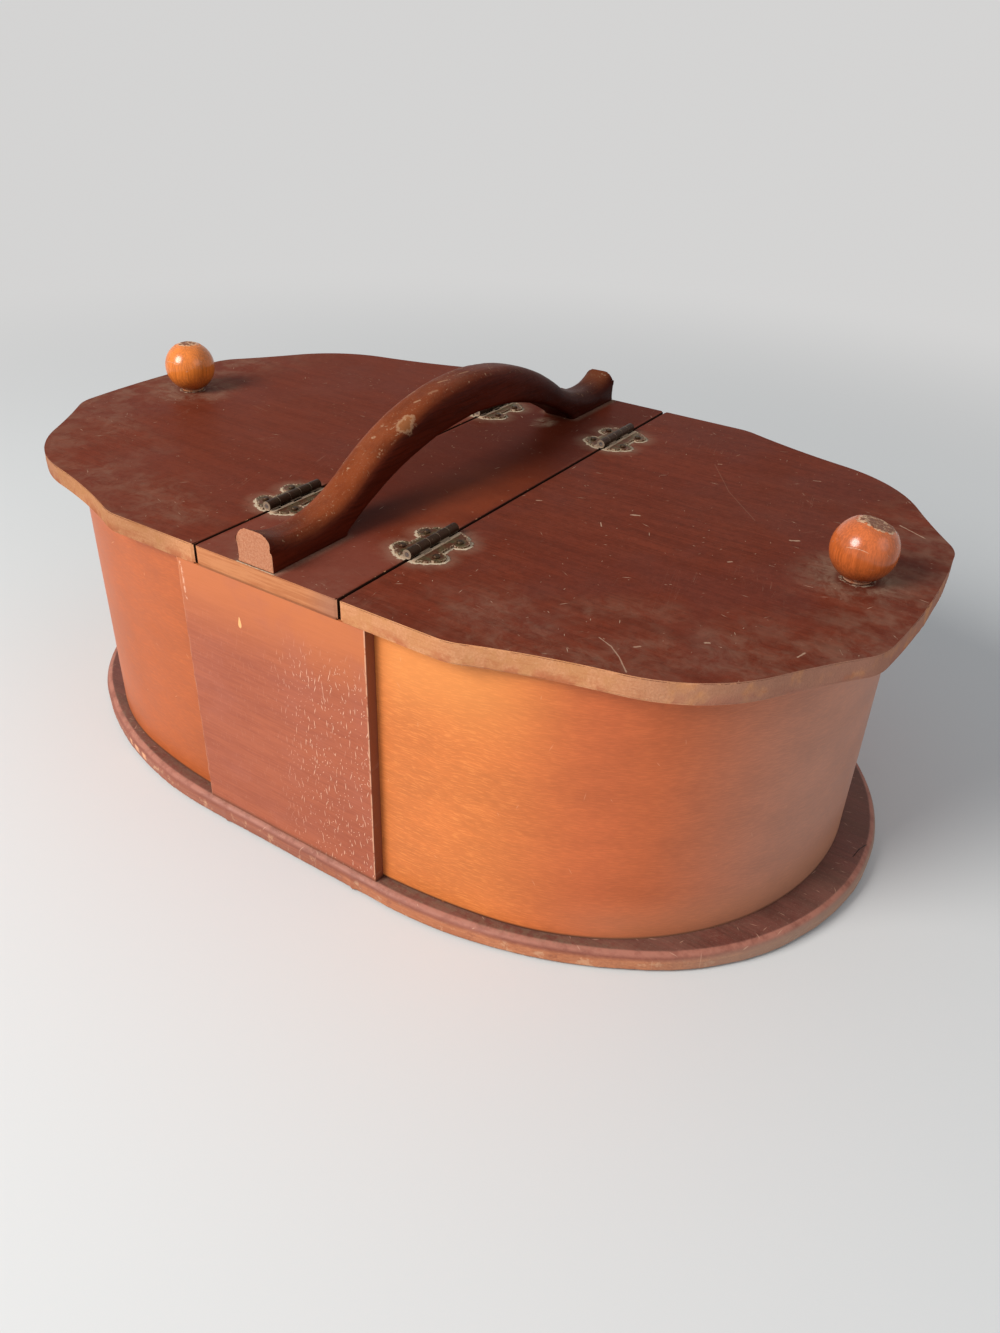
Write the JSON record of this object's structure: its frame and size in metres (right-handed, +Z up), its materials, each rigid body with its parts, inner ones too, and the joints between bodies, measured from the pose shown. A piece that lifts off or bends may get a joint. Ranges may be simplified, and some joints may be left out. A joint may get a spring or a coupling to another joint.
{
  "type": "sewing carrier with two lids",
  "caption": "Oval wooden sewing carrier with bent-wood walls, an arched carrying handle on a fixed centre board and hinged lids with scalloped edges and ball knobs.",
  "frame": {"origin": "middle of the base board's underside", "axes": "+X towards the right lid, -Y towards the front panel, +Z up; hinge pins run along Y"},
  "size_m": [0.4268, 0.266, 0.1825],
  "materials": {
    "lid_face": "dark maroon shellac, scuffed and dusty",
    "wall_wood": "golden orange shellac, fine straight grain",
    "panel_wood": "red-brown shellac with pale scratches",
    "base_wood": "dark maroon shellac, worn tan at the edge",
    "inner_wood": "bare wood",
    "handle_wood": "dark red-brown, rubbed to orange on top",
    "knob_wood": "glossy orange shellac, worn pale on top",
    "hinge_brass": "dull antique brass, grimy",
    "steel": "dull wire and screws"
  },
  "bodies": {
    "root": {"base_board": "base_wood", "base_screws": "steel", "centre_board": "lid_face", "handle": "handle_wood", "handle_screws": "steel", "board_hinge_nails": "hinge_brass", "front_panel": "panel_wood", "back_panel": "panel_wood", "front_seam_block": "inner_wood", "back_seam_block": "inner_wood", "left_wall": "wall_wood", "left_front_hinge_board_leaf": "hinge_brass", "left_front_hinge_pin": "steel", "left_back_hinge_board_leaf": "hinge_brass", "left_back_hinge_pin": "steel", "right_wall": "wall_wood", "right_front_hinge_board_leaf": "hinge_brass", "right_front_hinge_pin": "steel", "right_back_hinge_board_leaf": "hinge_brass", "right_back_hinge_pin": "steel"},
    "left_lid": {"left_lid": "lid_face", "left_knob": "knob_wood", "left_knob_screw": "steel", "left_lid_hinge_nails": "hinge_brass", "left_front_hinge_lid_leaf": "hinge_brass", "left_back_hinge_lid_leaf": "hinge_brass"},
    "right_lid": {"right_lid": "lid_face", "right_knob": "knob_wood", "right_knob_screw": "steel", "right_lid_hinge_nails": "hinge_brass", "right_front_hinge_lid_leaf": "hinge_brass", "right_back_hinge_lid_leaf": "hinge_brass"}
  },
  "joints": [
    {"name": "left_lid_hinge", "type": "hinge", "parent": "root", "child": "left_lid", "pos_m": [-0.0365, 0, 0.1413], "axis": [0, 1, 0], "range_deg": [0, 95]},
    {"name": "right_lid_hinge", "type": "hinge", "parent": "root", "child": "right_lid", "pos_m": [0.0365, 0, 0.1413], "axis": [0, -1, 0], "range_deg": [0, 95]}
  ]
}
